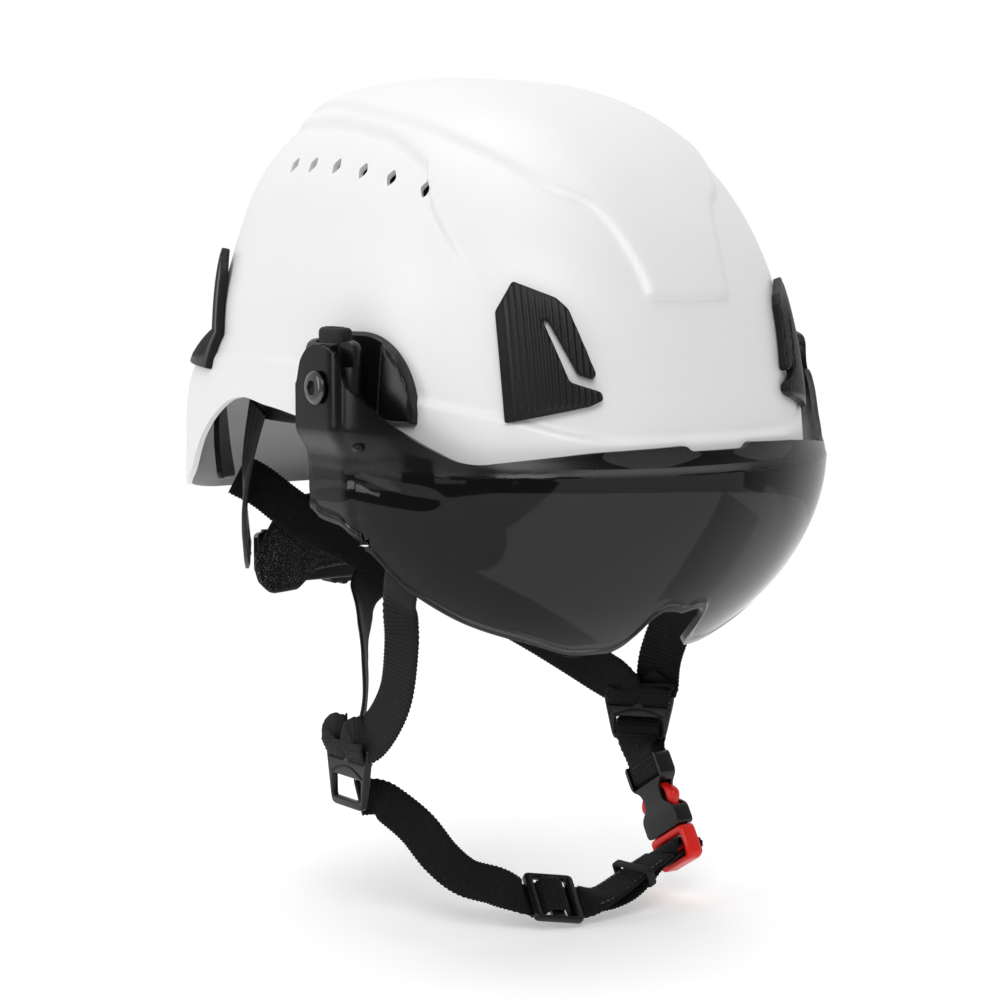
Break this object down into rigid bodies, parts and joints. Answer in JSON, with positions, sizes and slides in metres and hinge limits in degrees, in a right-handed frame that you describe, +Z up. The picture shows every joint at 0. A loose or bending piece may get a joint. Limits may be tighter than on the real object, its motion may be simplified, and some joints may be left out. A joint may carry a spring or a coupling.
{
  "type": "hard_hat_with_visor",
  "caption": "White industrial climbing helmet with vented shell, headlamp clips, hinged smoke half-face visor, ratchet nape fitting and a webbing chin harness with a side-release buckle.",
  "frame": {"origin": "centre of the head opening, level with the lower edge of the front brim", "axes": "+Z up through the crown, -Y the wearer's front where the visor is, +X the wearer's left"},
  "size_m": [0.2524, 0.2865, 0.3615],
  "materials": {
    "white_shell": "satin white moulded plastic",
    "black_foam": "matte expanded foam",
    "black_padding": "brushed comfort fabric",
    "black_webbing": "ribbed woven nylon",
    "smoke_polycarbonate": "clear smoke tint, polished",
    "black_gloss_plastic": "satin moulded",
    "red_acetal": "satin moulded",
    "steel": "dark plated",
    "black_rubber": "matte",
    "black_plastic": "fine matte moulded"
  },
  "bodies": {
    "helmet": {"band_arm_left": "black_plastic", "band_arm_right": "black_plastic", "brow_pad": "black_padding", "buckle_female": "black_gloss_plastic", "buckle_loop": "black_webbing", "button_spring_left": "steel", "button_spring_right": "steel", "chin_adjuster": "black_plastic", "chin_strap": "black_webbing", "chin_strap_end": "black_webbing", "clip_front_left": "black_plastic", "clip_front_right": "black_plastic", "clip_rear_left": "black_plastic", "clip_rear_right": "black_plastic", "crown_pad": "black_padding", "crown_strap_left": "black_webbing", "crown_strap_middle": "black_webbing", "crown_strap_right": "black_webbing", "front_hanger_left": "black_plastic", "front_hanger_right": "black_plastic", "front_strap_left": "black_webbing", "front_strap_right": "black_webbing", "headband": "black_plastic", "hinge_base_left": "black_plastic", "hinge_base_right": "black_plastic", "hinge_housing_left": "black_plastic", "hinge_housing_right": "black_plastic", "impact_liner": "black_foam", "nape_pad": "black_padding", "pivot_screw_left": "steel", "pivot_screw_right": "steel", "pivot_washer_left": "black_rubber", "pivot_washer_right": "black_rubber", "ratchet_cover": "black_plastic", "ratchet_housing": "black_plastic", "rear_hanger_left": "black_plastic", "rear_hanger_right": "black_plastic", "rear_strap_left": "black_webbing", "rear_strap_right": "black_webbing", "shell": "white_shell", "strap_divider_left": "black_plastic", "strap_divider_right": "black_plastic", "strap_keeper": "black_plastic", "strap_key_front_left": "black_plastic", "strap_key_front_right": "black_plastic", "strap_key_rear_left": "black_plastic", "strap_key_rear_right": "black_plastic", "strap_key_side_left": "black_plastic", "strap_key_side_right": "black_plastic"},
    "visor_assembly": {"visor": "smoke_polycarbonate"},
    "button_right": {"push_button_right": "black_gloss_plastic"},
    "button_left": {"push_button_left": "black_gloss_plastic"},
    "ratchet_wheel": {"ratchet_knob": "black_plastic", "ratchet_pinion": "black_plastic"},
    "rack_right": {"ratchet_rack_right": "black_plastic"},
    "rack_left": {"ratchet_rack_left": "black_plastic"},
    "buckle_tongue": {"buckle_male": "red_acetal"}
  },
  "joints": [
    {"name": "visor_hinge", "type": "hinge", "parent": "helmet", "child": "visor_assembly", "pos_m": [0, -0.04, 0.03], "axis": [-1, 0, 0], "range_deg": [0, 60]},
    {"name": "button_right_slide", "type": "slide", "parent": "helmet", "child": "button_right", "axis": [0, 0, -1], "range_m": [0, 0.003], "stiffness_N_per_m": 400, "deforming": ["button_spring_right"]},
    {"name": "button_left_slide", "type": "slide", "parent": "helmet", "child": "button_left", "axis": [0, 0, -1], "range_m": [0, 0.003], "stiffness_N_per_m": 400, "deforming": ["button_spring_left"]},
    {"name": "ratchet_turn", "type": "hinge", "parent": "helmet", "child": "ratchet_wheel", "pos_m": [0, 0.1402, -0.058], "axis": [0, 1, 0], "range_deg": [0, 96]},
    {"name": "rack_right_slide", "type": "slide", "parent": "helmet", "child": "rack_right", "axis": [1, 0, 0], "range_m": [0, 0.01]},
    {"name": "rack_left_slide", "type": "slide", "parent": "helmet", "child": "rack_left", "axis": [-1, 0, 0], "range_m": [0, 0.01]},
    {"name": "buckle_release", "type": "slide", "parent": "helmet", "child": "buckle_tongue", "axis": [0, -0.5201, -0.8541], "range_m": [0, 0.03]}
  ],
  "couplings": [
    {"joint": "ratchet_turn", "follows": "rack_right_slide", "rad_per_m": 166.67},
    {"joint": "rack_left_slide", "follows": "rack_right_slide", "ratio": 1}
  ]
}
